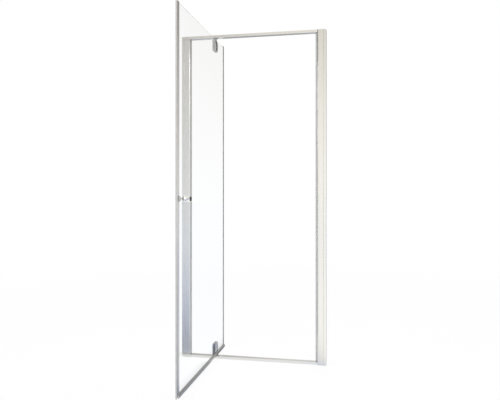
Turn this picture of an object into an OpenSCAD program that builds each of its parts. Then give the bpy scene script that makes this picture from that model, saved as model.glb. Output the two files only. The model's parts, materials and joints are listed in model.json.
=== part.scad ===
// Pivot shower door for a recess: a closed aluminium frame with one glass leaf.
// The origin is the middle of the frame's width and depth, on the underside of the sill.
// X runs along the frame, Y from outside to inside, Z up. The leaf is shown open by a quarter turn.

/* [Frame] */
// Width over both wall channels, pushed fully together
frame_w = 860; // [760:5:960]
// Height
frame_h = 1900; // [1700:5:2050]
// Width of one side, wall channel and stile together
side_w = 50; // [48:1:58]
// Depth of stiles and wall channels
stile_depth = 32; // [30:1:38]
// Wall of the stiles
stile_wall = 1.8; // [1.5:0.1:2.2]
// Radius of the stiles' edges towards the doorway
stile_edge_r = 5; // [3:0.5:6]
// Thickness of the stiles' end caps
stile_cap_t = 3; // [2:0.5:4]
// Depth of the rails
rail_depth = 26; // [24:1:28]
// Height of the head rail
head_h = 16; // [14:0.5:20]
// Height of the sill rail
sill_h = 15; // [14:0.5:18]
// Wall of the rails
rail_wall = 1.5; // [1.2:0.1:2]

/* [Wall channels] */
// Width of the channel's flanges
channel_w = 15; // [14.5:0.5:18]
// Wall of the channel
channel_wall = 1.6; // [1.4:0.1:1.8]
// Gap between channel and stile
channel_gap = 0.3; // [0.2:0.05:0.4]
// How far each channel can be drawn out to meet its wall
channel_travel = 7; // [5:0.5:7]
// Radius of the holes for wall screws
wall_hole_r = 2.75; // [2:0.25:3.25]
// Distance between the outer two wall screws
wall_holes_outer = 1600; // [1300:10:1650]
// Distance between the inner two wall screws
wall_holes_inner = 600; // [300:10:900]
// Distance between neighbouring locking screws
lock_pitch = 700; // [400:10:750]
// Radius of the locking screws
lock_r = 1.75; // [1.5:0.25:2]

/* [Leaf] */
// Distance from the hinge stile to the pivot axis
pivot_inset = 154.5; // [120:0.5:200]
// Distance from the pivot axis to the middle of the glass
glass_offset = 4; // [3.5:0.25:4.5]
// Thickness of the glass
glass_t = 6; // [5:0.5:6]
// Gap between the short edge of the closed leaf and the hinge stile
pivot_edge_gap = 4; // [4:0.5:6]
// Gap between the magnets of the closed door
magnet_gap = 1; // [0.5:0.25:2]
// Gap between the glass and the head rail
top_gap = 11; // [10:0.5:14]
// Height of the glass's lower edge over the sill
bottom_gap = 10; // [9.5:0.5:12]
// Width of the profile on the handle side
handle_profile_w = 22; // [18:1:30]
// Thickness of the profile on the handle side
handle_profile_t = 10; // [9:0.5:11]
// Height of the seal on the pivot side, over the glass
pivot_seal_rise = 8; // [2:0.5:9]
// Width of the seal on the pivot side
pivot_seal_w = 12; // [10:0.5:16]
// Reach of the drip nose from the middle of the glass
drip_reach = 10.5; // [9:0.25:11]
// Height of the drip rail's inner flange over the glass's lower edge
drip_rise = 10.5; // [9:0.5:12]

/* [Hinges] */
// Width of the hinge blocks and clamp plates, along the leaf
hinge_w = 40; // [36:1:44]
// Reach of the hinge blocks from the middle of the glass
block_reach = 19.5; // [16:0.25:21]
// Height of the glass that a hinge block covers
block_grip = 66; // [60:1:80]
// Width of the block's head and foot, between glass and rail
head_w = 26; // [25:0.5:26]
// Height of the top clamp plate
plate_h = 55; // [50:1:60]
// Thickness of the crowned clamp plates at their middle
plate_t = 7.5; // [7:0.1:8]
// Radius of the plates' crown across their width
crown_r = 50; // [45:1:70]
// Radius of the plates' crown along their height
crown_long_r = 150; // [130:5:300]
// Thickness of the soft pads on the glass
pad_t = 0.5; // [0.4:0.1:0.8]
// Radius of the pivot pins
pin_r = 4; // [3.5:0.25:4]
// Running clearance between pin and bush, on the radius
pin_clearance = 0.05; // [0.02:0.01:0.08]
// Radius of the clamp screws
clamp_screw_r = 3; // [2.5:0.25:3]
// Distance between a hinge's two clamp screws
clamp_pitch = 26; // [22:1:28]

/* [Knob] */
// Height of the knob over the sill's underside
knob_z = 950; // [850:5:1100]
// Distance from the leaf's long edge to the knob
knob_inset = 48; // [42:1:80]
// Radius of the knob
knob_r = 15.5; // [13:0.5:18]
// Reach of the inner knob from the middle of the glass
inner_knob_reach = 52; // [44:1:60]
// Reach of the outer knob from the middle of the glass
outer_knob_reach = 19.5; // [18:0.5:26]
// Radius of the knob's neck
neck_r = 7; // [6:0.5:8]
// Depth of the dish in the inner knob's front
inner_dish = 3.5; // [2:0.25:4]
// Depth of the dish in the outer knob's front
outer_dish = 1.5; // [1:0.25:2]

/* [Hidden] */

aluminium = [0.82, 0.82, 0.81];
chrome = [0.72, 0.73, 0.75];
steel = [0.62, 0.63, 0.65];
plastic = [0.78, 0.78, 0.77];
clear_plastic = [0.86, 0.87, 0.86];
seal_grey = [0.50, 0.50, 0.50];
magnet_grey = [0.30, 0.30, 0.31];
glass_tint = [0.80, 0.88, 0.86, 0.35];

round_fn = 64;
cut = 1;
slip = 0.05;
fit_gap = 0.1;
stop_gap = 0.4;

stile_z0 = stile_cap_t;
stile_z1 = frame_h - stile_cap_t;
shoulder_gap = 0.4;
shoulder = channel_w + shoulder_gap;
shoulder_r = 0.8;
tail_start = channel_wall + 2;
tail_depth = stile_depth - 2 * (channel_wall + channel_gap);
slot_mouth = 4;
slot_w = 6;
slot_d = 2.6;
slot_wall = 1.2;
slot_back = stile_wall + slot_d;
hollow_r = stile_edge_r - stile_wall;
cap_plug_w = 20;
cap_plug_d = 6;

doorway = frame_w / 2 - side_w;
port_y = rail_depth / 2 - 5;
port_r = 3.2;
corner_screw_r = 1.9;
corner_screw_l = 25;
corner_head_r = 2.5;
corner_head_t = 2.4;
rail_edge_r = 0.8;

lock_u = channel_w - channel_travel - 1.4;
lock_reach = 9;
lock_head_r = 3.5;
lock_head_t = 2.2;
lock_cap_r = 5.5;
lock_cap_t = 4;

pivot_x = -doorway + pivot_inset;
glass_x = pivot_x + glass_offset;
half_glass = glass_t / 2;
glass_z0 = sill_h + bottom_gap;
glass_z1 = frame_h - head_h - top_gap;

edge_seal_d = 3;
edge_seal_w0 = -handle_profile_t / 2;
edge_seal_w1 = 1.6;
edge_root_d = 2.8;
edge_root_w = 3;
magnet_t = (edge_seal_w0 + edge_seal_w1) / 2;
magnet_w = 3.8;
leaf_magnet_d = 1.5;
strike_magnet_d = 2;
strike_reach = 8.5;
stop_fin_l = 3.7;
stop_fin_t = 1.5;
seal_wall = 1.2;

leaf_near = doorway - strike_reach - magnet_gap - pivot_x;
profile_near = leaf_near - edge_seal_d;
glass_near = profile_near - edge_root_d - 2.7;
profile_far = profile_near - handle_profile_w;
leaf_far = pivot_inset - pivot_edge_gap;
glass_far = leaf_far - 3.5;
profile_cap_t = 2;
profile_r = 0.8;
profile_z0 = glass_z0 - 1;
profile_z1 = glass_z1 + 1;
lip_z0 = sill_h + 0.6;

pivot_seal_t = half_glass + 0.8;
pivot_bulb_r = 2.2;
gasket_reach = pivot_edge_gap - 0.6;
gasket_r = 1.9;
gasket_base = 0.8;
gasket_w = 26;

web_z0 = glass_z0 - 2.4;
web_z1 = glass_z0 - 0.2;
drip_in = half_glass + 0.15;
drip_out = drip_in + 1.65;
drip_wall = 1.4;
drip_z0 = sill_h + 4.4;
drip_far = leaf_far - 1.5;
drip_cap_t = 1.5;
drip_near = profile_near - drip_cap_t;
nose_start = max(drip_out, handle_profile_t / 2 + fit_gap);
nose_drop = drip_reach - drip_out;
lip_root_w = 5;
lip_root_t = 1.5;
lip_t = 2;

flange_t = 1.5;
flange_l = 32;
flange_w = 18;
flange_corner_r = 3;
bush_r = 7;
bush_l = 11;
bush_bore_r = pin_r + pin_clearance;
bearing_screw_r = 1.5;
bearing_screw_x = 11.5;
bearing_screw_l = 8;
bearing_head_r = 2.8;
washer_t = 1;
washer_r = 9;

block_in = half_glass + pad_t;
head_cut = 2.5;
block_r = 2;
block_end_r = 5;
head_r = 4;
top_block_z0 = glass_z1 - block_grip;
top_plate_z1 = top_block_z0 + plate_h;
top_block_z1 = frame_h - head_h - flange_t - 0.5;
top_head_z0 = glass_z1 + 0.3;
bottom_block_z0 = sill_h + flange_t + washer_t + slip;
bottom_block_z1 = glass_z0 + block_grip;
foot_z1 = glass_z0 - 0.3;
plate_corner_r = 3;
plate_z0_low = glass_z0 + drip_rise + 1.2;
pin_seat = 0.02;
pin_reach = 10;
top_pin_z0 = top_head_z0 + 0.5;
bottom_pin_z1 = foot_z1 - 0.5;
top_grub_z = (top_head_z0 + top_block_z1) / 2;
bottom_grub_z = (foot_z1 + bottom_block_z0) / 2;
grub_r = 2;
grub_l = 8;
clamp_end = (plate_h - clamp_pitch) / 2;
clamp_hole_r = clamp_screw_r + 3;
clamp_reach = 8;
clamp_head_r = clamp_screw_r + 2.5;
clamp_top = block_in + plate_t - 1.4;
clamp_socket_d = 2;
clamp_z_top = [for (i = [0, 1]) top_block_z0 + clamp_end + i * clamp_pitch];
clamp_z_low = [for (i = [0, 1]) bottom_block_z1 - clamp_end - i * clamp_pitch];
notch = hinge_w / 2 + 2.5;

knob_s = -leaf_near + knob_inset;
knob_hole_r = 6;
stud_r = 3;
knob_washer_r = 9;
knob_washer_t = 1;
knob_seat = half_glass + knob_washer_t;
neck_l = 9;
knob_back = 9;
waist_d = 1.2;
knob_edge_r = 2.5;
stud_in = 14;
stud_out = 9;

// Bar's outline from [x0, y0] to [x1, y1], its corners rounded
module bar2d(x0, x1, y0, y1, r) {
    translate([x0 + r, y0]) square([x1 - x0 - 2 * r, y1 - y0]);
    translate([x0, y0 + r]) square([x1 - x0, y1 - y0 - 2 * r]);
    for (x = [x0 + r, x1 - r], y = [y0 + r, y1 - r]) translate([x, y]) circle(r, $fn = 48);
}

// Box from one corner to the other
module box(a, b) {
    translate(a) cube(b - a);
}

// Turned bar about Z with chamfered ends
module turned(r, z0, z1, c) {
    rotate_extrude($fn = 96)
        polygon([[0, z0], [r - c, z0], [r, z0 + c], [r, z1 - c], [r - c, z1], [0, z1]]);
}

// Round bar along X, from x0 to x1
module round_x(r, x0, x1) {
    translate([x0, 0, 0]) rotate([0, 90, 0]) cylinder(r = r, h = x1 - x0, $fn = round_fn);
}

// Round bar along Y, from y0 to y1
module round_y(r, y0, y1) {
    translate([0, y0, 0]) rotate([-90, 0, 0]) cylinder(r = r, h = y1 - y0, $fn = round_fn);
}

// One side of the frame is drawn at the left wall, with u counted from the wall
module at_left() {
    translate([-frame_w / 2, 0, 0]) children();
}

module at_right() {
    mirror([1, 0, 0]) at_left() children();
}

// The leaf is drawn with x counted from the middle of the glass, towards the inside
module at_leaf() {
    translate([glass_x, 0, 0]) children();
}

module stile_outline() {
    half = stile_depth / 2;
    bar2d(shoulder, side_w - stile_edge_r, -half, half, shoulder_r);
    bar2d((shoulder + side_w) / 2 - stile_edge_r, side_w, -half, half, stile_edge_r);
    translate([tail_start, -tail_depth / 2]) square([shoulder + stile_wall - tail_start, tail_depth]);
}

// Hollow extrusion: tail for the wall channel, head with a seal slot in the face towards the doorway
module stile_section() {
    inner = stile_depth / 2 - stile_wall;
    tail_inner = tail_depth / 2 - stile_wall;
    difference() {
        stile_outline();
        translate([tail_start + stile_wall, -tail_inner])
            square([shoulder - tail_start - stile_wall, 2 * tail_inner]);
        difference() {
            bar2d(shoulder + stile_wall, side_w - stile_wall, -inner, inner, hollow_r);
            translate([side_w - slot_back - slot_wall, -slot_w / 2 - slot_wall])
                square([slot_back + slot_wall, slot_w + 2 * slot_wall]);
        }
        translate([side_w - stile_wall - cut, -slot_mouth / 2]) square([stile_wall + 2 * cut, slot_mouth]);
        translate([side_w - slot_back, -slot_w / 2]) square([slot_d, slot_w]);
    }
}

module corner_spots() {
    for (y = [-port_y, port_y], z = [sill_h / 2, frame_h - head_h / 2]) translate([0, y, z]) children();
}

module lock_spots() {
    for (i = [-1, 0, 1]) translate([lock_u, 0, frame_h / 2 + i * lock_pitch]) children();
}

module stile() {
    difference() {
        translate([0, 0, stile_z0]) linear_extrude(stile_z1 - stile_z0) stile_section();
        corner_spots() {
            round_x(corner_screw_r + slip, side_w - stile_wall - cut, side_w + cut);
            round_x(corner_head_r + 1, tail_start - cut, shoulder + stile_wall + cut);
        }
        lock_spots() round_y(lock_r + slip, stile_depth / 2 - lock_reach - cut, stile_depth / 2 + cut);
    }
}

module hinge_stile() { color(aluminium) at_left() stile(); }
module strike_stile() { color(aluminium) at_right() stile(); }

// Hollow rail along X, with a screw port at the front and the back
module rail(height) {
    d = rail_depth / 2;
    rotate([90, 0, 90]) translate([0, 0, -doorway]) linear_extrude(2 * doorway) difference() {
        bar2d(-d, d, 0, height, rail_edge_r);
        difference() {
            translate([-d + rail_wall, rail_wall]) square([2 * (d - rail_wall), height - 2 * rail_wall]);
            for (side = [0, 1]) mirror([side, 0]) translate([port_y, height / 2]) {
                circle(port_r, $fn = round_fn);
                translate([0, -port_r / 2]) square([d - port_y - rail_wall / 2, port_r]);
            }
        }
        for (y = [-port_y, port_y]) translate([y, height / 2]) circle(corner_screw_r + slip, $fn = round_fn);
    }
}

// Holes in a rail for the bush and its two screws
module bearing_holes(z0, z1) {
    translate([pivot_x, 0, z0]) {
        cylinder(r = bush_r + slip, h = z1 - z0, $fn = round_fn);
        for (x = [-bearing_screw_x, bearing_screw_x])
            translate([x, 0, 0]) cylinder(r = bearing_screw_r + slip, h = z1 - z0, $fn = round_fn);
    }
}

module head_rail() {
    color(aluminium) difference() {
        translate([0, 0, frame_h - head_h]) rail(head_h);
        bearing_holes(frame_h - head_h - cut, frame_h - head_h + bush_l + slip);
    }
}

module sill_rail() {
    color(aluminium) difference() {
        rail(sill_h);
        bearing_holes(sill_h - bush_l - slip, sill_h + cut);
    }
}

module corner_screw() {
    difference() {
        union() {
            round_x(corner_screw_r, side_w - stile_wall - cut, side_w + corner_screw_l);
            round_x(corner_head_r, side_w - stile_wall - corner_head_t, side_w - stile_wall);
        }
        translate([side_w - stile_wall - corner_head_t - cut, 0, 0]) rotate([0, 90, 0])
            cylinder(r = 1.4, h = cut + 1.3, $fn = 6);
    }
}

module corner_screws() {
    color(steel) {
        at_left() corner_spots() corner_screw();
        at_right() corner_spots() corner_screw();
    }
}

// Cover of one stile end, with a plug in the stile's hollow
module stile_cap() {
    plug = stile_depth / 2 - stile_wall - fit_gap;
    linear_extrude(stile_cap_t) stile_outline();
    plug_u = shoulder + stile_wall + fit_gap;
    translate([0, 0, stile_cap_t]) linear_extrude(cap_plug_d)
        bar2d(plug_u, plug_u + cap_plug_w, -plug, plug, hollow_r);
}

module stile_caps() {
    stile_cap();
    translate([0, 0, frame_h]) mirror([0, 0, 1]) stile_cap();
}

module hinge_stile_caps() { color(plastic) at_left() stile_caps(); }
module strike_stile_caps() { color(plastic) at_right() stile_caps(); }

// T-shaped foot of a seal, for the slot in a stile
module seal_foot() {
    mouth = slot_mouth - 2 * fit_gap;
    foot = slot_w - 2 * fit_gap;
    neck = stile_wall + 2 * fit_gap;
    translate([side_w - neck, -mouth / 2]) square([neck + gasket_base / 2, mouth]);
    translate([side_w - slot_back + fit_gap, -foot / 2]) square([slot_d - 2 * fit_gap, foot]);
}

module seal_strip() {
    translate([0, 0, sill_h + stop_gap]) linear_extrude(frame_h - head_h - sill_h - 2 * stop_gap) children();
}

module strike_magnet_outline(grow) {
    u = side_w + strike_reach - strike_magnet_d - 0.8;
    y = glass_offset + magnet_t - magnet_w / 2;
    translate([u - grow, y - grow]) square([strike_magnet_d + 2 * grow, magnet_w + 2 * grow]);
}

// Magnet holder in line with the closed leaf, with a fin behind it that stops the leaf
module strike_seal() {
    front_y = glass_offset + edge_seal_w0;
    fin_y = glass_offset + edge_seal_w1 + stop_gap;
    body_t = fin_y + stop_fin_t - front_y;
    color(plastic) at_right() seal_strip() difference() {
        union() {
            seal_foot();
            translate([side_w, front_y]) square([strike_reach, body_t]);
            translate([side_w, -slot_mouth / 2]) square([seal_wall, slot_mouth]);
            translate([side_w + strike_reach - cut, fin_y]) square([stop_fin_l + cut, stop_fin_t]);
        }
        strike_magnet_outline(fit_gap);
        translate([side_w + seal_wall, front_y + seal_wall])
            square([strike_reach - strike_magnet_d - 1 - 2 * seal_wall, body_t - 2 * seal_wall]);
    }
}

module strike_magnet() { color(magnet_grey) at_right() seal_strip() strike_magnet_outline(0); }

// Soft strip over the stile's inner face, with the bulb that the leaf's short edge closes on
module stile_gasket() {
    color(seal_grey) at_left() seal_strip() {
        seal_foot();
        translate([side_w, -gasket_w / 2]) square([gasket_base, gasket_w]);
        difference() {
            translate([side_w + gasket_reach - gasket_r, glass_offset]) circle(gasket_r, $fn = round_fn);
            translate([side_w - 2 * gasket_r, 0]) square([2 * gasket_r, 2 * glass_offset]);
        }
    }
}

// Flanged bush: the flange lies on the rail at z = 0 and the bush goes up into it
module bearing() {
    difference() {
        union() {
            translate([0, 0, -flange_t]) linear_extrude(flange_t)
                bar2d(-flange_l / 2, flange_l / 2, -flange_w / 2, flange_w / 2, flange_corner_r);
            translate([0, 0, -flange_t]) cylinder(r = bush_r, h = flange_t + bush_l, $fn = round_fn);
        }
        translate([0, 0, -flange_t - cut])
            cylinder(r = bush_bore_r, h = bush_l + flange_t + 2 * cut, $fn = round_fn);
        for (x = [-bearing_screw_x, bearing_screw_x]) translate([x, 0, -flange_t]) {
            translate([0, 0, -cut])
                cylinder(r = bearing_screw_r + slip, h = flange_t + 2 * cut, $fn = round_fn);
            bearing_countersink(slip);
        }
    }
}

module bearing_countersink(grow) {
    depth = min(bearing_head_r - bearing_screw_r, flange_t - 0.2);
    cylinder(r1 = bearing_head_r + grow, r2 = bearing_screw_r + grow, h = depth, $fn = round_fn);
}

module bearing_screw_pair() {
    for (x = [-bearing_screw_x, bearing_screw_x]) translate([x, 0, -flange_t]) difference() {
        union() {
            bearing_countersink(0);
            cylinder(r = bearing_screw_r, h = bearing_screw_l, $fn = round_fn);
        }
        translate([0, 0, -cut]) cylinder(r = 1, h = cut + 0.9, $fn = 6);
    }
}

module at_top_bearing() {
    translate([pivot_x, 0, frame_h - head_h]) children();
}

module at_bottom_bearing() {
    translate([pivot_x, 0, sill_h]) mirror([0, 0, 1]) children();
}

module top_bearing() { color(plastic) at_top_bearing() bearing(); }
module bottom_bearing() { color(plastic) at_bottom_bearing() bearing(); }

module bearing_screws() {
    color(steel) {
        at_top_bearing() bearing_screw_pair();
        at_bottom_bearing() bearing_screw_pair();
    }
}

module thrust_washer() {
    color(clear_plastic) translate([pivot_x, 0, sill_h + flange_t]) difference() {
        cylinder(r = washer_r, h = washer_t, $fn = round_fn);
        translate([0, 0, -cut]) cylinder(r = bush_bore_r + 0.1, h = washer_t + 2 * cut, $fn = round_fn);
    }
}

module locking_screws() {
    seat = stile_depth / 2 + fit_gap;
    lock_spots() difference() {
        union() {
            round_y(lock_r, stile_depth / 2 - lock_reach, seat + cut);
            round_y(lock_head_r, seat, seat + lock_head_t);
        }
        translate([0, seat + 1, 0]) rotate([-90, 0, 0]) cylinder(r = 1.5, h = lock_head_t, $fn = 6);
    }
}

module locking_caps() {
    seat = stile_depth / 2 + fit_gap;
    lock_spots() difference() {
        round_y(lock_cap_r, seat, seat + lock_cap_t);
        round_y(lock_head_r + slip, seat - cut, seat + lock_head_t + fit_gap);
    }
}

module locking_screws_left() { color(steel) at_left() locking_screws(); }
module locking_screws_right() { color(steel) at_right() locking_screws(); }
module locking_caps_left() { color(plastic) at_left() locking_caps(); }
module locking_caps_right() { color(plastic) at_right() locking_caps(); }

// U-shaped channel that is screwed to the wall; its inner flange is notched for the locking screws
module wall_channel() {
    half = stile_depth / 2;
    difference() {
        translate([0, 0, stile_z0]) linear_extrude(stile_z1 - stile_z0) difference() {
            bar2d(0, channel_w, -half, half, shoulder_r);
            translate([channel_wall, -half + channel_wall]) square([channel_w, 2 * (half - channel_wall)]);
        }
        for (pitch = [wall_holes_outer, wall_holes_inner], side = [-1, 1])
            translate([0, 0, frame_h / 2 + side * pitch / 2]) round_x(wall_hole_r, -cut, channel_wall + cut);
        lock_spots() {
            round_y(lock_r + fit_gap, half - channel_wall - cut, half + cut);
            box([0, half - channel_wall - cut, -lock_r - fit_gap], [channel_w, half + cut, lock_r + fit_gap]);
        }
    }
}

module wall_channel_left() { color(aluminium) at_left() wall_channel(); }
module wall_channel_right() { color(aluminium) at_right() wall_channel(); }

module clamp_spots(heights) {
    for (z = heights) translate([0, 0, z]) children();
}

module glass_panel() {
    color(glass_tint) at_leaf() difference() {
        box([-half_glass, -glass_near, glass_z0], [half_glass, glass_far, glass_z1]);
        clamp_spots(concat(clamp_z_top, clamp_z_low)) round_x(clamp_hole_r, -glass_t, glass_t);
        translate([0, knob_s, knob_z]) round_x(knob_hole_r, -glass_t, glass_t);
    }
}

// Channel on the glass's long edge, with a slot for the edge seal
module handle_profile() {
    half = handle_profile_t / 2;
    pocket = half_glass + fit_gap;
    color(aluminium) at_leaf() translate([0, 0, profile_z0])
        linear_extrude(profile_z1 - profile_z0) difference() {
            bar2d(-half, half, -profile_near, -profile_far, profile_r);
            translate([-pocket, -glass_near - fit_gap]) square([2 * pocket, handle_profile_w]);
            translate([-edge_root_w / 2, -profile_near - cut]) square([edge_root_w, edge_root_d + cut]);
        }
}

module handle_profile_caps() {
    half = handle_profile_t / 2;
    color(plastic) at_leaf() for (z = [profile_z0 - profile_cap_t, profile_z1])
        translate([0, 0, z]) linear_extrude(profile_cap_t)
            bar2d(-half, half, -profile_near, -profile_far, profile_r);
}

module leaf_magnet_outline(grow) {
    translate([magnet_t - magnet_w / 2 - grow, -leaf_near + 0.7 - grow])
        square([magnet_w + 2 * grow, leaf_magnet_d + 2 * grow]);
}

// Magnet holder on the handle profile; it hangs down to the sill
module leaf_edge_seal() {
    root = edge_root_w / 2 - slip;
    color(plastic) at_leaf() {
        translate([0, 0, lip_z0]) linear_extrude(profile_z1 + profile_cap_t - lip_z0) difference() {
            translate([edge_seal_w0, -leaf_near]) square([edge_seal_w1 - edge_seal_w0, edge_seal_d]);
            leaf_magnet_outline(slip);
        }
        translate([0, 0, profile_z0]) linear_extrude(profile_z1 - profile_z0)
            translate([-root, -profile_near - 0.1]) square([2 * root, edge_root_d]);
    }
}

module leaf_magnet() {
    color(magnet_grey) at_leaf() translate([0, 0, lip_z0])
        linear_extrude(profile_z1 + profile_cap_t - lip_z0) leaf_magnet_outline(0);
}

// Push-on seal on the glass's short edge
module pivot_edge_seal() {
    z0 = glass_z0 + drip_rise + stop_gap;
    pocket = half_glass + slip;
    color(seal_grey) at_leaf() translate([0, 0, z0])
        linear_extrude(glass_z1 + pivot_seal_rise - z0) difference() {
            union() {
                translate([-pivot_seal_t, leaf_far - pivot_seal_w])
                    square([2 * pivot_seal_t, pivot_seal_w - pivot_bulb_r]);
                translate([0, leaf_far - pivot_bulb_r]) circle(pivot_bulb_r, $fn = round_fn);
            }
            translate([-pocket, leaf_far - pivot_seal_w - cut])
                square([2 * pocket, glass_far + slip - leaf_far + pivot_seal_w + cut]);
        }
}

// Drip rail in x and z: a channel on the glass's lower edge and a nose that throws water inwards
module drip_outline() {
    top = glass_z0 + drip_rise;
    nose = top - nose_drop;
    polygon([
        [-drip_out, top - 1], [-drip_in, top - 1], [-drip_in, web_z1], [drip_in, web_z1], [drip_in, top],
        [drip_out, top], [drip_reach, nose], [drip_reach, drip_z0], [drip_reach - drip_wall, drip_z0],
        [drip_reach - drip_wall, nose - 0.6], [drip_out, top - 2], [drip_out, web_z0], [-drip_out, web_z0]
    ]);
}

module along_leaf(s0, s1) {
    translate([0, s1, 0]) rotate([90, 0, 0]) linear_extrude(s1 - s0) children();
}

// The channel stops at the handle profile and makes room for the hinge's foot; the nose runs on
module drip_rail() {
    high = glass_z0 + drip_rise + cut;
    color(aluminium) at_leaf() difference() {
        along_leaf(-drip_near, drip_far - drip_cap_t) drip_outline();
        box([-drip_out - cut, -drip_near - cut, 0], [nose_start, -profile_far + fit_gap, high]);
        box([-drip_out - cut, -notch, 0], [drip_in, notch, high]);
        box([-cut, -notch, 0], [drip_out + cut, notch, foot_z1 + fit_gap]);
    }
}

module drip_rail_caps() {
    top = glass_z0 + drip_rise;
    nose = top - nose_drop;
    color(plastic) at_leaf() {
        along_leaf(-profile_near, -drip_near)
            polygon([[nose_start, drip_z0], [drip_reach, drip_z0], [drip_reach, nose],
                [nose_start, top - 0.5]]);
        along_leaf(drip_far - drip_cap_t, drip_far)
            polygon([[-drip_out, web_z0], [drip_out, web_z0], [drip_out, drip_z0], [drip_reach, drip_z0],
                [drip_reach, nose], [drip_out, top], [-drip_out, top - 1]]);
    }
}

// Soft lip in two lengths, either side of the bottom hinge
module drip_lip() {
    color(clear_plastic) at_leaf() difference() {
        along_leaf(-profile_far + fit_gap, drip_far - drip_cap_t) {
            translate([-lip_root_w / 2, web_z0 - lip_root_t]) square([lip_root_w, lip_root_t]);
            translate([-lip_t / 2, lip_z0]) square([lip_t, web_z0 - lip_root_t / 2 - lip_z0]);
        }
        box([-drip_reach, -notch, 0], [drip_reach, notch, glass_z0]);
    }
}

// Threaded holes for the clamp screws, from the glass side
module clamp_holes(heights) {
    clamp_spots(heights) round_x(clamp_screw_r + slip, -block_in - clamp_reach - cut, 0);
}

// The block's outline along the leaf, with the outer corner of its free end rounded
module block_side(body_z0, body_z1, head_z0, head_z1) {
    past = block_end_r + 1;
    z0 = head_z0 < body_z0 ? head_z0 - past : body_z0;
    z1 = head_z1 > body_z1 ? head_z1 + past : body_z1;
    along_leaf(-hinge_w, hinge_w) bar2d(-block_reach, head_cut + past, z0, z1, block_end_r);
}

// Block on the outside of the glass, with a head or foot that reaches over the glass's edge and holds the pin
module hinge_block(body_z0, body_z1, head_z0, head_z1, heights, grub_z) {
    half = hinge_w / 2;
    head = head_w / 2;
    difference() {
        intersection() {
            block_side(body_z0, body_z1, head_z0, head_z1);
            union() {
                translate([0, 0, body_z0]) linear_extrude(body_z1 - body_z0) difference() {
                    bar2d(-block_reach, 0, -half, half, block_r);
                    translate([-block_in, -hinge_w]) square([2 * block_in, 2 * hinge_w]);
                }
                translate([0, 0, head_z0]) linear_extrude(head_z1 - head_z0)
                    bar2d(-block_reach, head_cut, -head, head, head_r);
            }
        }
        clamp_holes(heights);
        translate([-glass_offset, 0, grub_z]) round_y(grub_r + slip, 0, hinge_w);
    }
}

module pin_hole(z0, z1) {
    translate([-glass_offset, 0, z0]) cylinder(r = pin_r + pin_seat, h = z1 - z0, $fn = round_fn);
}

module top_hinge_block() {
    color(chrome) at_leaf() difference() {
        hinge_block(top_block_z0, top_head_z0, top_head_z0, top_block_z1, clamp_z_top, top_grub_z);
        pin_hole(top_pin_z0, top_block_z1 + cut);
    }
}

module bottom_hinge_block() {
    color(chrome) at_leaf() difference() {
        hinge_block(foot_z1, bottom_block_z1, bottom_block_z0, foot_z1, clamp_z_low, bottom_grub_z);
        pin_hole(bottom_block_z0 - cut, bottom_pin_z1);
    }
}

// Flat plate with rounded corners in y and z, from x0 to x1
module plate(x0, x1, z0, z1) {
    translate([x0, 0, 0]) rotate([90, 0, 90]) linear_extrude(x1 - x0)
        bar2d(-hinge_w / 2, hinge_w / 2, z0, z1, plate_corner_r);
}

// Ring whose outside has the plates' two crowns, with its crest at x = 0
module crown() {
    translate([-crown_long_r, 0, 0]) rotate([90, 0, 0]) rotate_extrude($fn = 360)
        translate([crown_long_r - crown_r, 0]) circle(crown_r, $fn = 180);
}

// The screws' heads lie just below the crowned surface
module clamp_countersink(grow) {
    depth = clamp_head_r - clamp_screw_r;
    translate([clamp_top - depth, 0, 0]) rotate([0, 90, 0])
        cylinder(r1 = clamp_screw_r + grow, r2 = clamp_head_r + grow, h = depth, $fn = round_fn);
}

module hinge_plate(z0, z1, heights) {
    difference() {
        intersection() {
            plate(block_in, block_in + plate_t, z0, z1);
            translate([block_in + plate_t, 0, (z0 + z1) / 2]) crown();
        }
        clamp_spots(heights) {
            round_x(clamp_screw_r + slip, 0, clamp_top);
            clamp_countersink(slip);
            round_x(clamp_head_r + slip, clamp_top, block_in + plate_t + cut);
        }
    }
}

module top_hinge_plate() {
    color(chrome) at_leaf() hinge_plate(top_block_z0, top_plate_z1, clamp_z_top);
}

module bottom_hinge_plate() {
    color(chrome) at_leaf() hinge_plate(plate_z0_low, bottom_block_z1, clamp_z_low);
}

// Soft pads under the block, and under the plate
module hinge_gaskets(block_z0, block_z1, plate_z0, plate_z1, heights) {
    difference() {
        union() {
            plate(-block_in, -half_glass, block_z0, block_z1);
            plate(half_glass, block_in, plate_z0, plate_z1);
        }
        clamp_spots(heights) round_x(clamp_hole_r, -glass_t, glass_t);
    }
}

module top_hinge_gaskets() {
    color(clear_plastic) at_leaf()
        hinge_gaskets(top_block_z0, glass_z1, top_block_z0, top_plate_z1, clamp_z_top);
}

module bottom_hinge_gaskets() {
    color(clear_plastic) at_leaf()
        hinge_gaskets(glass_z0, bottom_block_z1, plate_z0_low, bottom_block_z1, clamp_z_low);
}

module clamp_screws(heights) {
    clamp_spots(heights) difference() {
        union() {
            round_x(clamp_screw_r, -block_in - clamp_reach, clamp_top - slip);
            clamp_countersink(0);
        }
        translate([clamp_top - clamp_socket_d, 0, 0]) rotate([0, 90, 0])
            cylinder(r = 2.3, h = clamp_socket_d + cut, $fn = 6);
    }
}

module top_hinge_screws() { color(steel) at_leaf() clamp_screws(clamp_z_top); }
module bottom_hinge_screws() { color(steel) at_leaf() clamp_screws(clamp_z_low); }

module sleeve(bore) {
    difference() {
        round_x(knob_hole_r - slip, -half_glass, half_glass);
        round_x(bore + slip, -glass_t, glass_t);
    }
}

module hinge_hole_sleeves() {
    color(clear_plastic) at_leaf() clamp_spots(concat(clamp_z_top, clamp_z_low)) difference() {
        round_x(clamp_hole_r - slip, -half_glass, half_glass);
        round_x(clamp_screw_r + slip, -glass_t, glass_t);
    }
}

module top_pivot_pin() {
    z1 = frame_h - head_h + pin_reach;
    color(steel) translate([pivot_x, 0, 0]) turned(pin_r, top_pin_z0, z1, 0.8);
}

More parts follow.
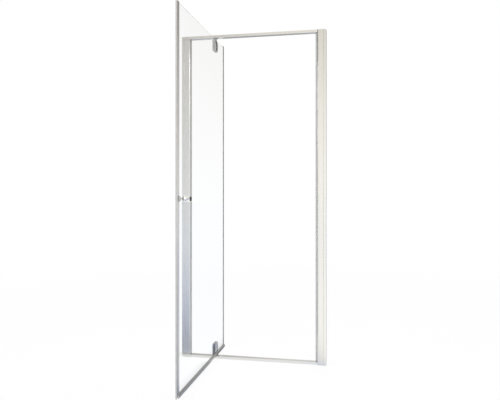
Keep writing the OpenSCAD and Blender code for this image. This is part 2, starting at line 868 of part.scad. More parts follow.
module bottom_pivot_pin() {
    z0 = sill_h - pin_reach;
    color(steel) translate([pivot_x, 0, 0]) turned(pin_r, z0, bottom_pin_z1, 0.8);
}

module pin_grub_screws() {
    color(steel) for (z = [top_grub_z, bottom_grub_z])
        translate([pivot_x, 0, z]) difference() {
            round_y(grub_r, pin_r + fit_gap, pin_r + fit_gap + grub_l);
            translate([0, pin_r + grub_l - 1.5, 0]) rotate([-90, 0, 0]) cylinder(r = 1.1, h = 3, $fn = 6);
        }
}

module at_knob() {
    at_leaf() translate([0, knob_s, knob_z]) children();
}

// Section of the shallow dish in a knob's front, which leaves the rounded rim
module knob_dish(front, depth) {
    rim = knob_r - knob_edge_r;
    r = (rim * rim + depth * depth) / (2 * depth);
    translate([0, front - depth + r]) circle(r, $fn = 256);
}

// Turned spool about Z: neck, cone, waisted grip, rounded rim and dished front
module inner_knob() {
    front = inner_knob_reach;
    back = knob_seat + neck_l + knob_back;
    long = front - back - 2 * knob_edge_r;
    waist_r = (long * long / 4 + waist_d * waist_d) / (2 * waist_d);
    color(chrome) at_knob() rotate([0, 90, 0]) rotate_extrude($fn = 96) difference() {
        union() {
            polygon([[0, knob_seat], [neck_r, knob_seat], [neck_r, knob_seat + neck_l], [knob_r, back],
                [knob_r, front - knob_edge_r], [knob_r - knob_edge_r, front - knob_edge_r],
                [knob_r - knob_edge_r, front], [0, front]]);
            translate([knob_r - knob_edge_r, front - knob_edge_r]) circle(knob_edge_r, $fn = round_fn);
        }
        translate([knob_r - waist_d + waist_r, back + knob_edge_r + long / 2]) circle(waist_r, $fn = 256);
        knob_dish(front, inner_dish);
        square([stud_r + slip, stud_in + slip]);
    }
}

module outer_knob() {
    front = outer_knob_reach;
    neck = knob_seat + 4;
    color(chrome) at_knob() rotate([0, -90, 0]) rotate_extrude($fn = 96) difference() {
        union() {
            polygon([[0, knob_seat], [neck_r, knob_seat], [neck_r, neck], [knob_r, neck + 2],
                [knob_r, front - knob_edge_r], [knob_r - knob_edge_r, front - knob_edge_r],
                [knob_r - knob_edge_r, front], [0, front]]);
            translate([knob_r - knob_edge_r, front - knob_edge_r]) circle(knob_edge_r, $fn = round_fn);
        }
        knob_dish(front, outer_dish);
        square([stud_r + slip, stud_out + slip]);
    }
}

module knob_washers() {
    color(clear_plastic) at_knob() for (x = [-knob_seat, half_glass]) difference() {
        round_x(knob_washer_r, x, x + knob_washer_t);
        round_x(stud_r + 0.2, x - cut, x + knob_washer_t + cut);
    }
}

module knob_sleeve() { color(clear_plastic) at_knob() sleeve(stud_r); }
module knob_stud() { color(steel) at_knob() round_x(stud_r, -stud_out, stud_in); }

hinge_stile();
strike_stile();
head_rail();
sill_rail();
corner_screws();
hinge_stile_caps();
strike_stile_caps();
strike_seal();
strike_magnet();
stile_gasket();
top_bearing();
bottom_bearing();
bearing_screws();
thrust_washer();
locking_screws_left();
locking_screws_right();
locking_caps_left();
locking_caps_right();
wall_channel_left();
wall_channel_right();
glass_panel();
handle_profile();
handle_profile_caps();
leaf_edge_seal();
leaf_magnet();
pivot_edge_seal();
drip_rail();
drip_rail_caps();
drip_lip();
top_hinge_block();
top_hinge_plate();
top_hinge_gaskets();
top_hinge_screws();
bottom_hinge_block();
bottom_hinge_plate();
bottom_hinge_gaskets();
bottom_hinge_screws();
hinge_hole_sleeves();
top_pivot_pin();
bottom_pivot_pin();
pin_grub_screws();
inner_knob();
outer_knob();
knob_washers();
knob_sleeve();
knob_stud();
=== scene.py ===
import bmesh
import bpy
import json
import math
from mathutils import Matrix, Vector

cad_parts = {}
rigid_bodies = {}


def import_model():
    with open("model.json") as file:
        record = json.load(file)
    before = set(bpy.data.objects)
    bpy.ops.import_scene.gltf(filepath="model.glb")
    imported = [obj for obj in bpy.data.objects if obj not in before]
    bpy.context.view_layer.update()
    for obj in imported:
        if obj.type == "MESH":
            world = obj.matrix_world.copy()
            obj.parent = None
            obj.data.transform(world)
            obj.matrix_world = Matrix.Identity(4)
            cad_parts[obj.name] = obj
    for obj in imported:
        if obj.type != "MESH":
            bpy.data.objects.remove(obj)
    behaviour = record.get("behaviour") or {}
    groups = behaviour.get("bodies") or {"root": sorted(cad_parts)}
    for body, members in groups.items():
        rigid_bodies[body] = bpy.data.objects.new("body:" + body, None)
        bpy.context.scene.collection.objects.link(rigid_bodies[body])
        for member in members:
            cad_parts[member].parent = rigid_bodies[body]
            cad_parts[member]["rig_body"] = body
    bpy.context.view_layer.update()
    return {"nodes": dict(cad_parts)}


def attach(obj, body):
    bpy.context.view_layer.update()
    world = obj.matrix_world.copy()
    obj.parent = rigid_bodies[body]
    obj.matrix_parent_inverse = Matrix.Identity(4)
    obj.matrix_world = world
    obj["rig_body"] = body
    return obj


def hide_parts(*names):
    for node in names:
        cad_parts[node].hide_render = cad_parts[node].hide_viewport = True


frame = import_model()


# Side members of the frame
# Two hollow aluminium extrusions, satin polished along their length and clear anodised. The same
# shape stands on both sides, mirrored, and its tail slides in the wall channel.

WELD = 2e-6
FLAT = math.radians(0.3)
SHARP = math.radians(30)
FACE_WEIGHT = 100


def linked(name, shape):
    """Turns a bmesh into an object of the scene"""
    mesh = bpy.data.meshes.new(name)
    shape.to_mesh(mesh)
    shape.free()
    piece = bpy.data.objects.new(name, mesh)
    bpy.context.scene.collection.objects.link(piece)
    return piece


def stand_for(piece, node):
    """Puts a piece in the place of a CAD node, on the node's body"""
    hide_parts(node)
    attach(piece, frame["nodes"][node]["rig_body"])


def eased(node, radius, steps=2):
    """A piece that stands for a CAD node: the node's shape, its sharp edges broken by a small radius"""
    cad = frame["nodes"][node]
    shape = bmesh.new()
    shape.from_mesh(cad.data)
    bmesh.ops.remove_doubles(shape, verts=shape.verts, dist=WELD)
    bmesh.ops.dissolve_limit(shape, angle_limit=FLAT, verts=shape.verts, edges=shape.edges)
    for face in shape.faces:
        face.smooth = True
        face.material_index = 0
    piece = linked(node + "_eased", shape)
    edge = piece.modifiers.new("edge radius", "BEVEL")
    edge.width = radius
    edge.segments = steps
    edge.limit_method = "ANGLE"
    edge.angle_limit = SHARP
    even = piece.modifiers.new("flat faces", "WEIGHTED_NORMAL")
    even.weight = FACE_WEIGHT
    stand_for(piece, node)
    return piece


def coat(pieces, *materials):
    """Gives each piece the materials in place of what it came with"""
    for piece in pieces:
        piece.data.materials.clear()
        for material in materials:
            piece.data.materials.append(material)


def feed(tree, socket, value):
    """Links another socket to this one, or sets it to a plain value; colours are red, green and blue"""
    if isinstance(value, bpy.types.NodeSocket):
        tree.links.new(value, socket)
    elif socket.type == "RGBA":
        socket.default_value = (*value, 1)
    else:
        socket.default_value = value


def place(tree, kind, **values):
    """Adds a shader node; a value is for the node's own setting of that name, or else for its input"""
    made = tree.nodes.new(kind)
    for name, value in values.items():
        if hasattr(made, name):
            setattr(made, name, value)
        else:
            feed(tree, made.inputs[name.replace("_", " ")], value)
    return made


def in_order(tree, node, *values):
    """Feeds a node's first inputs in their order"""
    for socket, value in zip(node.inputs, values):
        feed(tree, socket, value)
    return node


def number(tree, operation, *terms):
    """A number worked out from others"""
    return in_order(tree, place(tree, "ShaderNodeMath", operation=operation), *terms).outputs["Value"]


def vector(tree, operation, *terms):
    """A vector worked out from others, or their product or length, which is a number"""
    made = in_order(tree, place(tree, "ShaderNodeVectorMath", operation=operation), *terms)
    return made.outputs["Value" if operation in ("DOT_PRODUCT", "LENGTH") else "Vector"]


def where(tree, kind="Object"):
    """The place that is shaded, which for Object is taken from the door's origin with the door at rest"""
    return place(tree, "ShaderNodeTexCoord").outputs[kind]


def mixed(tree, share, first, second, blend="MIX"):
    """A colour between two"""
    made = place(tree, "ShaderNodeMix", data_type="RGBA", blend_type=blend, Factor=share, A=first, B=second)
    return made.outputs["Result"]


def ranged(tree, source, start, end, first=0.0, last=1.0, run="LINEAR"):
    """A number that runs from first to last while the source runs from start to end"""
    made = place(tree, "ShaderNodeMapRange", interpolation_type=run, Value=source,
        From_Min=start, From_Max=end, To_Min=first, To_Max=last)
    return made.outputs["Result"]


def effect(name, inputs, outputs):
    """An empty node group with named sockets, and its two end nodes"""
    group = bpy.data.node_groups.new(name, "ShaderNodeTree")
    for label, kind, value in inputs:
        socket = group.interface.new_socket(label, in_out="INPUT", socket_type="NodeSocket" + kind)
        socket.default_value = value
    for label, kind in outputs:
        group.interface.new_socket(label, in_out="OUTPUT", socket_type="NodeSocket" + kind)
    return group, group.nodes.new("NodeGroupInput"), group.nodes.new("NodeGroupOutput")


def use(tree, group, **values):
    """Places an effect in a material with the material's own values"""
    return place(tree, "ShaderNodeGroup", node_tree=group, **values)


def surface(name, **constants):
    """A new material, its node tree and its shader, whose plain values are set on the shader itself"""
    material = bpy.data.materials.new(name)
    material.use_nodes = True
    shader = material.node_tree.nodes["Principled BSDF"]
    for label, value in constants.items():
        feed(material.node_tree, shader.inputs[label.replace("_", " ")], value)
    return material, material.node_tree, shader


def dressed(tree, shader, tone, colours, cloud, gloss):
    """Gives a shader a colour between two by the tone, and a roughness between two by the cloud"""
    feed(tree, shader.inputs["Base Color"], mixed(tree, tone, *colours))
    feed(tree, shader.inputs["Roughness"], ranged(tree, cloud, 0.0, 1.0, *gloss))


def recoloured(tree, share, colour, blend="MIX"):
    """Mixes a colour over the one that the tree's shader has"""
    base = tree.nodes["Principled BSDF"].inputs["Base Color"]
    feed(tree, base, mixed(tree, share, base.links[0].from_socket, colour, blend))


def bumped(tree, shader, height, strength, depth):
    """Raises a shader's surface by a height that runs over the depth, in metres"""
    bump = place(tree, "ShaderNodeBump", Strength=strength, Distance=depth, Height=height)
    feed(tree, shader.inputs["Normal"], bump.outputs["Normal"])


BROAD_SHARE = 0.12


def drawn_lines():
    """Fine parallel lines that an extrusion die or a brush leaves; Stretch is small along the lines"""
    group, start, end = effect("drawn lines",
        [("Stretch", "Vector", (1, 1, 0.01)), ("Lines per metre", "Float", 900)],
        [("Height", "Float"), ("Tone", "Float")])
    fine_scale = start.outputs["Lines per metre"]
    broad_scale = number(group, "MULTIPLY", fine_scale, BROAD_SHARE)
    stretched = vector(group, "MULTIPLY", where(group), start.outputs["Stretch"])
    fine = place(group, "ShaderNodeTexNoise", Vector=stretched, Scale=fine_scale, Detail=3, Roughness=0.7)
    broad = place(group, "ShaderNodeTexNoise", Vector=stretched, Scale=broad_scale, Detail=2, Roughness=0.5)
    feed(group, end.inputs["Height"], fine.outputs["Fac"])
    feed(group, end.inputs["Tone"], broad.outputs["Fac"])
    return group


# The cosine between true and rounded normals, off an edge and on it, and where patches of rub begin
RUB_SAMPLES = 4
RUB_TURN = (0.995, 0.86)
RUB_PATCH = (0.4, 0.62)


def edge_rub():
    """Mask of the edges that hands have rubbed brighter; Patches is their number over a piece"""
    group, start, end = effect("edge rub",
        [("Width", "Float", 0.0008), ("Patches", "Float", 40)],
        [("Mask", "Float")])
    rounded = place(group, "ShaderNodeBevel", samples=RUB_SAMPLES, Radius=start.outputs["Width"])
    true = place(group, "ShaderNodeNewGeometry")
    turn = vector(group, "DOT_PRODUCT", rounded.outputs["Normal"], true.outputs["Normal"])
    patches = place(group, "ShaderNodeTexNoise", Scale=start.outputs["Patches"], Detail=3)
    near_edge = ranged(group, turn, *RUB_TURN)
    broken = ranged(group, patches.outputs["Fac"], *RUB_PATCH)
    feed(group, end.inputs["Mask"], number(group, "MULTIPLY", near_edge, broken))
    return group


LINES = drawn_lines()
RUB = edge_rub()
SATIN = ((0.680, 0.677, 0.668), (0.715, 0.712, 0.703))
SATIN_GLOSS = (0.24, 0.32)
RUBBED = (0.80, 0.80, 0.795)


def aluminium(name, stretch, shade=1.0):
    """Satin anodised aluminium: stretch is small along its drawn lines, and shade is its brightness, a
    painted light above 1 and a painted shade below 1
    """
    material, tree, shader = surface(name, Metallic=1.0)
    lines = use(tree, LINES, Stretch=stretch, Lines_per_metre=1400)
    rub = use(tree, RUB, Width=0.0006, Patches=30)
    tones = [tuple(level * shade for level in tone) for tone in SATIN]
    dressed(tree, shader, lines.outputs["Tone"], tones, lines.outputs["Height"], SATIN_GLOSS)
    recoloured(tree, rub.outputs["Mask"], RUBBED)
    bumped(tree, shader, lines.outputs["Height"], strength=0.15, depth=0.00002)
    return material


ALONG_X = (0.004, 1, 1)
ALONG_Y = (1, 0.004, 1)
ALONG_Z = (1, 1, 0.004)
upright_aluminium = aluminium("satin aluminium, upright", ALONG_Z)
STILE_EDGE = 0.0003
coat([eased(node, STILE_EDGE) for node in ("hinge_stile", "strike_stile")], upright_aluminium)


# Head rail and sill rail
# Thin hollow extrusions between the stiles, cut square and held by screws in their ports.

RAIL_EDGE = 0.0003
# The rails use a copy of the stiles' aluminium painted lighter, a painted light
RAIL_PAINTED_LIGHT = 1.08
level_aluminium = aluminium("satin aluminium, level", ALONG_X, RAIL_PAINTED_LIGHT)
coat([eased(node, RAIL_EDGE) for node in ("head_rail", "sill_rail")], level_aluminium)


# Wall channels
# Thinner U-shaped extrusions of the same aluminium, screwed to the walls. The stiles slide in them.

CHANNEL_EDGE = 0.00025
WALL_CHANNELS = ("wall_channel_left", "wall_channel_right")
coat([eased(node, CHANNEL_EDGE) for node in WALL_CHANNELS], upright_aluminium)


# Screws of the frame
# Stainless steel screws with turned heads and hexagon sockets.

EVEN = (1, 1, 1)
STEEL = ((0.56, 0.56, 0.57), (0.68, 0.68, 0.69))
STEEL_GLOSS = (0.2, 0.42)
screw_steel, tree, shader = surface("turned stainless steel", Metallic=1.0)
lines = use(tree, LINES, Stretch=EVEN, Lines_per_metre=3000)
dressed(tree, shader, lines.outputs["Tone"], STEEL, lines.outputs["Height"], STEEL_GLOSS)
SCREW_EDGE = 0.00015
FRAME_SCREWS = ("corner_screws", "bearing_screws", "locking_screws_left", "locking_screws_right")
coat([eased(node, SCREW_EDGE) for node in FRAME_SCREWS], screw_steel)


# Caps, bushes and washer of the frame
# Injection-moulded grey plastic with a fine matt grain from the mould.

CLOUDS_PER_METRE = 25


def mould_grain():
    """The fine dimples and the faint cloudiness of moulded plastic"""
    group, start, end = effect("mould grain",
        [("Grains per metre", "Float", 4000)],
        [("Height", "Float"), ("Cloud", "Float")])
    spot = where(group)
    density = start.outputs["Grains per metre"]
    grain = place(group, "ShaderNodeTexNoise", Vector=spot, Scale=density, Detail=2)
    cloud = place(group, "ShaderNodeTexNoise", Vector=spot, Scale=CLOUDS_PER_METRE, Detail=3)
    feed(group, end.inputs["Height"], grain.outputs["Fac"])
    feed(group, end.inputs["Cloud"], cloud.outputs["Fac"])
    return group


GRAIN = mould_grain()


def plastic(name, dark, light, gloss, **constants):
    """Plastic between a dark and a light tone, with the mould's grain"""
    material, tree, shader = surface(name, **constants)
    grain = use(tree, GRAIN)
    dressed(tree, shader, grain.outputs["Cloud"], (dark, light), grain.outputs["Cloud"], gloss)
    bumped(tree, shader, grain.outputs["Height"], strength=0.2, depth=0.00003)
    return material


grey_plastic = plastic("grey moulded plastic", (0.52, 0.52, 0.51), (0.60, 0.60, 0.59), gloss=(0.38, 0.52))
PLASTIC_EDGE = 0.0004
FRAME_PLASTIC = ("hinge_stile_caps", "strike_stile_caps", "top_bearing", "bottom_bearing",
    "thrust_washer", "locking_caps_left", "locking_caps_right")
coat([eased(node, PLASTIC_EDGE) for node in FRAME_PLASTIC], grey_plastic)


# Seals in the frame
# Extruded soft plastic: a pale magnet holder on the strike side, pushed in the stile's slot with its
# black magnet strip, and a grey strip with a bulb on the hinge side.

seal_plastic = plastic("pale seal plastic", (0.55, 0.55, 0.54), (0.61, 0.61, 0.60), gloss=(0.35, 0.45))
grey_seal = plastic("grey seal rubber", (0.19, 0.19, 0.19), (0.23, 0.23, 0.225), gloss=(0.4, 0.5))
magnet_black = plastic("magnet strip", (0.05, 0.05, 0.055), (0.08, 0.08, 0.085), gloss=(0.45, 0.6))
SEAL_EDGE = 0.00025
coat([eased("strike_seal", SEAL_EDGE)], seal_plastic)
coat([eased("stile_gasket", SEAL_EDGE)], grey_seal)
coat([eased("strike_magnet", SEAL_EDGE)], magnet_black)


# Glass
# One sheet of 6 mm toughened clear glass. Its edges and holes are ground, with a small chamfer.

GLASS_CHAMFER = 0.0006
GLASS_INDEX = 1.5
EDGE_TINT = ((0.86, 0.94, 0.91), (0.92, 0.97, 0.95))
EDGE_GLOSS = (0.25, 0.5)
SIDEWAYS = 0.5
glass = eased("glass_panel", GLASS_CHAMFER, steps=1)
glass.visible_shadow = False
clear_glass = surface("clear glass", Base_Color=(0.985, 0.993, 0.99), Metallic=0.0, Roughness=0.0,
    IOR=GLASS_INDEX, Transmission_Weight=1.0)[0]
ground_edge, tree, shader = surface("ground glass edge", Metallic=0.0, IOR=GLASS_INDEX,
    Transmission_Weight=1.0)
lines = use(tree, LINES, Stretch=EVEN, Lines_per_metre=2500)
dressed(tree, shader, lines.outputs["Tone"], EDGE_TINT, lines.outputs["Height"], EDGE_GLOSS)
coat([glass], clear_glass, ground_edge)
for face in glass.data.polygons:
    face.material_index = int(abs(face.normal.x) < SIDEWAYS)


# Handle profile, its caps and the magnet strip on it
# An aluminium channel bonded to the glass's long edge, with a painted reflection that makes it lightest
# at 0.8 m and darker towards the top and bottom. A plastic strip with a magnet is pushed in its slot.

def grey(level):
    return (level, level, level)


def levels(tree, source, stops):
    """A colour from (place, colour) stops, for a source from 0 to 1"""
    made = place(tree, "ShaderNodeValToRGB", Fac=source)
    marks = made.color_ramp.elements
    while len(marks) > 1:
        marks.remove(marks[0])
    first_place, first_colour = stops[0]
    marks[0].position = first_place
    marks[0].color = (*first_colour, 1)
    for position, colour in stops[1:]:
        marks.new(position).color = (*colour, 1)
    return made.outputs["Color"]


def parts_of(tree, source):
    """The X, Y and Z of a vector"""
    return place(tree, "ShaderNodeSeparateXYZ", Vector=source).outputs


def painted_reflection_by_height(material, heights):
    """Paints a reflection on a metal as another brightness at each height of the door; heights has (metres,
    share) pairs
    """
    tree = material.node_tree
    share = ranged(tree, parts_of(tree, where(tree))["Z"], 0.0, DOOR_HEIGHT)
    shades = levels(tree, share, [(height / DOOR_HEIGHT, grey(level)) for height, level in heights])
    recoloured(tree, 1.0, shades, "MULTIPLY")
    return material


PROFILE_EDGE = 0.00025
DOOR_HEIGHT = 1.9
PAINTED_REFLECTION_HEIGHTS = [(0.0, 0.72), (0.25, 0.82), (0.48, 0.88), (0.66, 1.03), (0.80, 1.25), (1.04, 1.19),
    (1.32, 1.04), (1.60, 0.97), (1.76, 0.89), (1.9, 0.84)]
# The handle's brightness changes with height by a painted reflection
handle_aluminium = painted_reflection_by_height(aluminium("satin aluminium, handle", ALONG_Z), PAINTED_REFLECTION_HEIGHTS)
coat([eased("handle_profile", PROFILE_EDGE)], handle_aluminium)
coat([eased("handle_profile_caps", PLASTIC_EDGE)], grey_plastic)
coat([eased("leaf_edge_seal", SEAL_EDGE)], seal_plastic)
coat([eased("leaf_magnet", SEAL_EDGE)], magnet_black)


# Seal on the short edge
# A soft extruded strip, pushed on the glass, with a bulb that closes on the frame.

coat([eased("pivot_edge_seal", SEAL_EDGE)], grey_seal)


# Drip rail
# An aluminium extrusion on the glass's lower edge with a nose to the inside, two caps and a soft lip.

# The drip rail uses a copy of the same aluminium painted darker, a painted shade
DRIP_PAINTED_SHADE = 0.76
drip_aluminium = aluminium("satin aluminium, along the leaf", ALONG_Y, DRIP_PAINTED_SHADE)
clear_plastic = plastic("translucent seal plastic", (0.62, 0.64, 0.63), (0.70, 0.72, 0.71),
    gloss=(0.25, 0.35), Subsurface_Weight=0.3, Subsurface_Scale=0.002)
coat([eased("drip_rail", PROFILE_EDGE)], drip_aluminium)
coat([eased("drip_rail_caps", PLASTIC_EDGE)], grey_plastic)
coat([eased("drip_lip", SEAL_EDGE)], clear_plastic)


# Hinges
# Brass blocks outside the glass and crowned plates inside, polished and chromed; the lower ones are a copy
# of the chrome painted darker, a painted shade. Screws clamp the glass between soft pads, and a steel pin
# in each block turns in the frame's bush.

def chromed(name, dark, light, gloss):
    """Polished and plated metal, with a faint cloudiness in its gloss"""
    material, tree, shader = surface(name, Metallic=1.0)
    cloud = use(tree, GRAIN).outputs["Cloud"]
    dressed(tree, shader, cloud, (dark, light), cloud, gloss)
    return material


HINGE_EDGE = 0.0008
HINGE_EDGE_STEPS = 3
HINGE_SOFT = ("top_hinge_gaskets", "bottom_hinge_gaskets", "hinge_hole_sleeves")
HINGE_STEEL = ("top_hinge_screws", "bottom_hinge_screws", "top_pivot_pin", "bottom_pivot_pin",
    "pin_grub_screws")
chrome = chromed("polished chrome", (0.54, 0.545, 0.555), (0.59, 0.592, 0.60), gloss=(0.03, 0.09))
# The lower hinges' chrome is the same chrome painted darker, a painted shade
shaded_chrome = chromed("chrome with painted shade", (0.40, 0.405, 0.415), (0.45, 0.455, 0.465), gloss=(0.04, 0.11))
for end, metal in (("top", chrome), ("bottom", shaded_chrome)):
    pair = (end + "_hinge_block", end + "_hinge_plate")
    coat([eased(node, HINGE_EDGE, HINGE_EDGE_STEPS) for node in pair], metal)
coat([frame["nodes"][node] for node in HINGE_SOFT], clear_plastic)
coat([frame["nodes"][node] for node in HINGE_STEEL], screw_steel)


# Knobs
# Two turned and chromed brass knobs on one threaded stud, with soft washers against the glass. The band
# round each rear cone and the dish in each front have a dark painted reflection.

ACROSS = (0, 1, 1)


def painted_reflection_knob_ends():
    """Mask of a knob's parts that get a dark painted reflection; lengths are metres from Middle along X,
    and the radius is round X
    """
    group, start, end = effect("knob ends",
        [("Middle", "Vector", (0, 0, 0)), ("Band start", "Float", 0.01), ("Band end", "Float", 0.02),
            ("Dish start", "Float", 0.05), ("Dish radius", "Float", 0.012)],
        [("Mask", "Float")])
    near = vector(group, "SUBTRACT", where(group), start.outputs["Middle"])
    out = number(group, "ABSOLUTE", parts_of(group, near)["X"])
    radius = vector(group, "LENGTH", vector(group, "MULTIPLY", near, ACROSS))
    after = number(group, "GREATER_THAN", out, start.outputs["Band start"])
    before = number(group, "LESS_THAN", out, start.outputs["Band end"])
    in_front = number(group, "GREATER_THAN", out, start.outputs["Dish start"])
    inside = number(group, "LESS_THAN", radius, start.outputs["Dish radius"])
    band = number(group, "MULTIPLY", after, before)
    dish = number(group, "MULTIPLY", in_front, inside)
    feed(group, end.inputs["Mask"], number(group, "MAXIMUM", band, dish))
    return group


DARK_REFLECTION_ENDS = painted_reflection_knob_ends()
KNOB_MIDDLE = (-0.2215, -0.548, 0.95)
KNOB_PAINTED_REFLECTION = 0.16
KNOB_SIZES = {
    "inner_knob": {"Band_start": 0.0135, "Band_end": 0.0221, "Dish_start": 0.048, "Dish_radius": 0.0129},
    "outer_knob": {"Band_start": 0.0081, "Band_end": 0.0100, "Dish_start": 0.017, "Dish_radius": 0.0129},
}
for node, sizes in KNOB_SIZES.items():
    name = node.replace("_", " ") + " chrome"
    knob_chrome = chromed(name, (0.94, 0.935, 0.915), (0.975, 0.97, 0.955), gloss=(0.06, 0.12))
    tree = knob_chrome.node_tree
    ends = use(tree, DARK_REFLECTION_ENDS, Middle=KNOB_MIDDLE, **sizes)
    # Paints a dark reflection on each knob's band and dish
    recoloured(tree, ends.outputs["Mask"], grey(KNOB_PAINTED_REFLECTION))
    coat([frame["nodes"][node]], knob_chrome)
coat([frame["nodes"][node] for node in ("knob_washers", "knob_sleeve")], clear_plastic)
coat([frame["nodes"]["knob_stud"]], screw_steel)


# Studio
# A pale floor and white air around the door, soft lamps, and the camera of the photograph. What metal
# and glass mirror has grey levels of its own, on the floor and in the air.

WHITE = grey(1.0)
COOL = (0.92, 0.97, 1.06)
FLOOR_REACH = 30
FLOOR_DROP = 0.0005


def ramped(tree, source, start, end, first=0.0, last=1.0):
    """Like ranged, with a smooth start and end"""
    return ranged(tree, source, start, end, first, last, "SMOOTHSTEP")


def turned(tree, parts, stops):
    """A colour for each direction, from the left round the front to the right and the back"""
    turn = number(tree, "ARCTAN2", parts["Y"], parts["X"])
    return levels(tree, ranged(tree, turn, -math.pi, math.pi), stops)


def together(tree, *masks):
    """A mask that is full where all the masks are"""
    whole = masks[0]
    for mask in masks[1:]:
        whole = number(tree, "MULTIPLY", whole, mask)
    return whole


def blended(tree, share, first, second):
    """A shader between two"""
    return in_order(tree, place(tree, "ShaderNodeMixShader"), share, first, second).outputs["Shader"]


shape = bmesh.new()
bmesh.ops.create_grid(shape, x_segments=1, y_segments=1, size=FLOOR_REACH)
floor = linked("floor", shape)
floor.location.z = -FLOOR_DROP
pale, tree, shader = surface("pale floor", Base_Color=(0.92, 0.92, 0.92), Roughness=0.9)
rays = place(tree, "ShaderNodeLightPath").outputs
spot = where(tree)
parts = parts_of(tree, spot)

# The camera and clear glass see white, which keeps the door's faint shadow near it. From here on, a pair
# of distances is where a mask starts and where it is full.
NEAR_WHITE = 0.9
FULL_WHITE = (1.2, 4.0)
direct = number(tree, "MAXIMUM", rays["Is Camera Ray"], rays["Is Transmission Ray"])
fade = ramped(tree, vector(tree, "LENGTH", spot), *FULL_WHITE, first=NEAR_WHITE)
white = place(tree, "ShaderNodeEmission", Color=WHITE, Strength=1.0)
white_share = number(tree, "MULTIPLY", direct, fade)
seen = blended(tree, white_share, shader.outputs["BSDF"], white.outputs["Emission"])

# On the door's left the mirrored floor is dim and lightens with distance; the strip at the sill is lit
LEFT_MIDDLE = (-0.22, 0, 0)
LEFT_FAR = 6.0
LEFT_LEVELS = [(0.0, (0.145, 0.165, 0.235)), (0.10, (0.20, 0.225, 0.32)), (0.22, (0.43, 0.48, 0.64)),
    (0.40, (0.60, 0.64, 0.74)), (1.0, (0.84, 0.86, 0.88))]
LEFT_END = (-0.21, -0.12)
SILL_START = (-0.09, -0.055)
SILL_END = (-0.01, 0.0)
SILL_LEVEL = grey(0.98)
from_left = vector(tree, "LENGTH", vector(tree, "SUBTRACT", spot, LEFT_MIDDLE))
left = levels(tree, ranged(tree, from_left, 0.0, LEFT_FAR), LEFT_LEVELS)
left_floor = mixed(tree, ramped(tree, parts["Y"], *SILL_START), left, SILL_LEVEL)
left_floor = mixed(tree, ramped(tree, parts["Y"], *SILL_END), left_floor, left)
ground = mixed(tree, ramped(tree, parts["X"], *LEFT_END), left_floor, WHITE)

# Round the door's right side it is bright in front, dark to the right, and dimmer far back
RIGHT_MIDDLE = (0.45, 0, 0)
FLOOR_BRIGHT = (1.46, 1.44, 1.36)
FLOOR_RING = [(0.0, grey(1.04)), (0.03, grey(1.04)), (0.06, COOL), (0.12, COOL), (0.19, (1.05, 1.04, 1.02)),
    (0.235, FLOOR_BRIGHT), (0.31, FLOOR_BRIGHT), (0.375, grey(0.12)), (0.665, grey(0.12)), (0.70, COOL),
    (0.96, COOL), (1.0, grey(1.04))]
BACK_START = (2.5, 4.5)
BACK_RIGHT = (0.3, 0.0)
BACK_LEVEL = grey(0.42)
from_right = parts_of(tree, vector(tree, "SUBTRACT", spot, RIGHT_MIDDLE))
ground = mixed(tree, 1.0, ground, turned(tree, from_right, FLOOR_RING), "MULTIPLY")
far_back = together(tree, ramped(tree, parts["Y"], *BACK_START), ramped(tree, parts["X"], *BACK_RIGHT))
ground = mixed(tree, far_back, ground, BACK_LEVEL)

# A dim patch that the glass mirrors over the lower hinge, between two slanted lines
PATCH_SLANT = 3.1
PATCH_LEFT = (0.592, 0.604)
PATCH_RIGHT = (0.708, 0.696)
PATCH_NEAR = (-0.195, -0.185)
PATCH_FAR = (-0.122, -0.131)
PATCH_LEVEL = (0.05, 0.05, 0.06)
slant = number(tree, "MULTIPLY_ADD", parts["X"], -PATCH_SLANT, parts["Y"])
patch = together(tree, ramped(tree, slant, *PATCH_LEFT), ramped(tree, slant, *PATCH_RIGHT),
    ramped(tree, parts["X"], *PATCH_NEAR), ramped(tree, parts["X"], *PATCH_FAR))
ground = mixed(tree, patch, ground, PATCH_LEVEL)

# A dim line beside the drip rail, which the rail mirrors
LINE_LEFT = (-0.206, -0.199)
LINE_RIGHT = (-0.181, -0.188)
LINE_END = (-0.045, -0.09)
LINE_LEVEL = (0.46, 0.52, 0.60)
line = together(tree, ramped(tree, parts["X"], *LINE_LEFT), ramped(tree, parts["X"], *LINE_RIGHT),
    ramped(tree, parts["Y"], *LINE_END))
ground = mixed(tree, line, ground, LINE_LEVEL)

# Rays that went through glass count as glossy too, so they are taken off the mirrored ones
mirrored = place(tree, "ShaderNodeEmission", Color=ground)
reflected = number(tree, "SUBTRACT", rays["Is Glossy Ray"], rays["Is Transmission Ray"])
reflected.node.use_clamp = True
both = blended(tree, reflected, seen, mirrored.outputs["Emission"])
feed(tree, tree.nodes["Material Output"].inputs["Surface"], both)
coat([floor], pale)

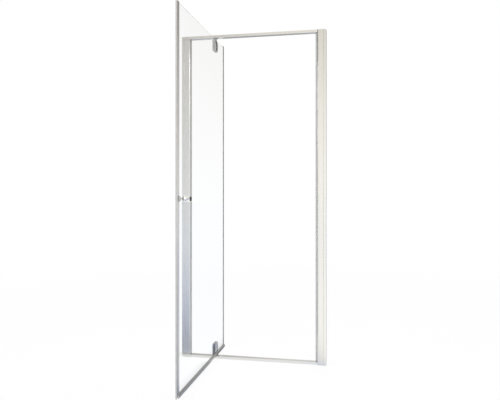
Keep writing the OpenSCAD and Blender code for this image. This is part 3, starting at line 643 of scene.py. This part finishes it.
# Metal sees the studio's walls as a ring of levels, from the left side round the front to the right
# and back. Their height makes them white at the middle, warm and dim above, and dim below.
AIR_WARM = (1.08, 1.06, 0.99)
AIR_RING = [(0.0, grey(0.16)), (0.10, grey(0.30)), (0.18, grey(0.455)), (0.194, grey(0.53)),
    (0.197, grey(0.42)), (0.203, grey(0.42)), (0.206, grey(1.24)), (0.216, grey(1.24)), (0.226, AIR_WARM),
    (0.34, AIR_WARM), (0.43, grey(0.4)), (0.50, grey(0.12)), (0.60, grey(0.2)), (0.665, grey(0.42)),
    (0.686, grey(0.69)), (0.705, grey(0.69)), (0.72, grey(0.5)), (0.755, grey(0.5)), (0.772, grey(0.98)),
    (0.788, grey(0.61)), (0.81, grey(0.38)), (0.86, grey(0.36)), (0.93, grey(0.18)), (1.0, grey(0.16))]
AIR_HEIGHT = [(0.0, grey(0.5)), (0.35, grey(0.8)), (0.48, WHITE), (0.5, WHITE), (0.531, (0.95, 0.95, 0.94)),
    (0.594, (0.83, 0.82, 0.79)), (0.657, (0.68, 0.66, 0.625)), (0.69, (0.55, 0.52, 0.49)),
    (0.82, (0.5, 0.48, 0.46)), (1.0, (0.55, 0.53, 0.52))]
AIR_GLOSS = 1.4
AIR_FILL = grey(0.6)
OVERHEAD = (1.2, 1.2, 1.18)
OVERHEAD_RISE = (0.40, 0.62)
OVERHEAD_RIGHT = (0.08, -0.05)
air = bpy.data.worlds.new("studio air")
bpy.context.scene.world = air
air.use_nodes = True
tree = air.node_tree
rays = place(tree, "ShaderNodeLightPath").outputs
parts = parts_of(tree, where(tree, "Generated"))
ring = turned(tree, parts, AIR_RING)
rise = levels(tree, ranged(tree, parts["Z"], -1.0, 1.0), AIR_HEIGHT)
walls = place(tree, "ShaderNodeVectorMath", operation="SCALE", Scale=AIR_GLOSS)
in_order(tree, walls, mixed(tree, 1.0, ring, rise, "MULTIPLY"))
lit = together(tree, ramped(tree, parts["Z"], *OVERHEAD_RISE), ramped(tree, parts["X"], *OVERHEAD_RIGHT))
shown = mixed(tree, lit, walls.outputs["Vector"], OVERHEAD)
unseen = mixed(tree, rays["Is Glossy Ray"], AIR_FILL, shown)
direct = number(tree, "MAXIMUM", rays["Is Camera Ray"], rays["Is Transmission Ray"])
feed(tree, tree.nodes["Background"].inputs["Color"], mixed(tree, direct, unseen, WHITE))


def lamp(name, spot, size, watts, colour):
    """A soft lamp that looks at the door's middle and doesn't show in reflections"""
    light = bpy.data.lights.new(name, "AREA")
    light.shape = "RECTANGLE"
    light.size, light.size_y = size
    light.energy = watts
    light.color = colour
    holder = bpy.data.objects.new(name, light)
    holder.location = spot
    holder.rotation_euler = (Vector(DOOR_MIDDLE) - Vector(spot)).to_track_quat("-Z", "Y").to_euler()
    holder.visible_glossy = False
    bpy.context.scene.collection.objects.link(holder)


DOOR_MIDDLE = (0, 0, 0.95)
lamp("key lamp", spot=(2.4, -3.2, 3.2), size=(2.2, 1.6), watts=80, colour=(1.0, 0.98, 0.95))
lamp("fill lamp", spot=(-3.2, -2.4, 2.4), size=(2.0, 2.0), watts=38, colour=(0.95, 0.97, 1.0))
lamp("top lamp", spot=(0.2, 1.4, 4.2), size=(2.4, 1.6), watts=50, colour=(1.0, 1.0, 1.0))

CAMERA_SPOT = (0.634073, -2.662421, 0.99437)
CAMERA_TURN = math.radians(9.6936)
LEVEL = math.radians(90)
SENSOR = 36
LENS = 33.7666
SHIFT = (-0.06569, -0.02133)
view = bpy.data.cameras.new("camera")
view.sensor_width = SENSOR
view.lens = LENS
view.shift_x, view.shift_y = SHIFT
camera = bpy.data.objects.new("camera", view)
camera.location = CAMERA_SPOT
camera.rotation_euler = (LEVEL, 0, CAMERA_TURN)
bpy.context.scene.collection.objects.link(camera)
bpy.context.scene.camera = camera
bpy.context.scene.view_settings.view_transform = "Standard"
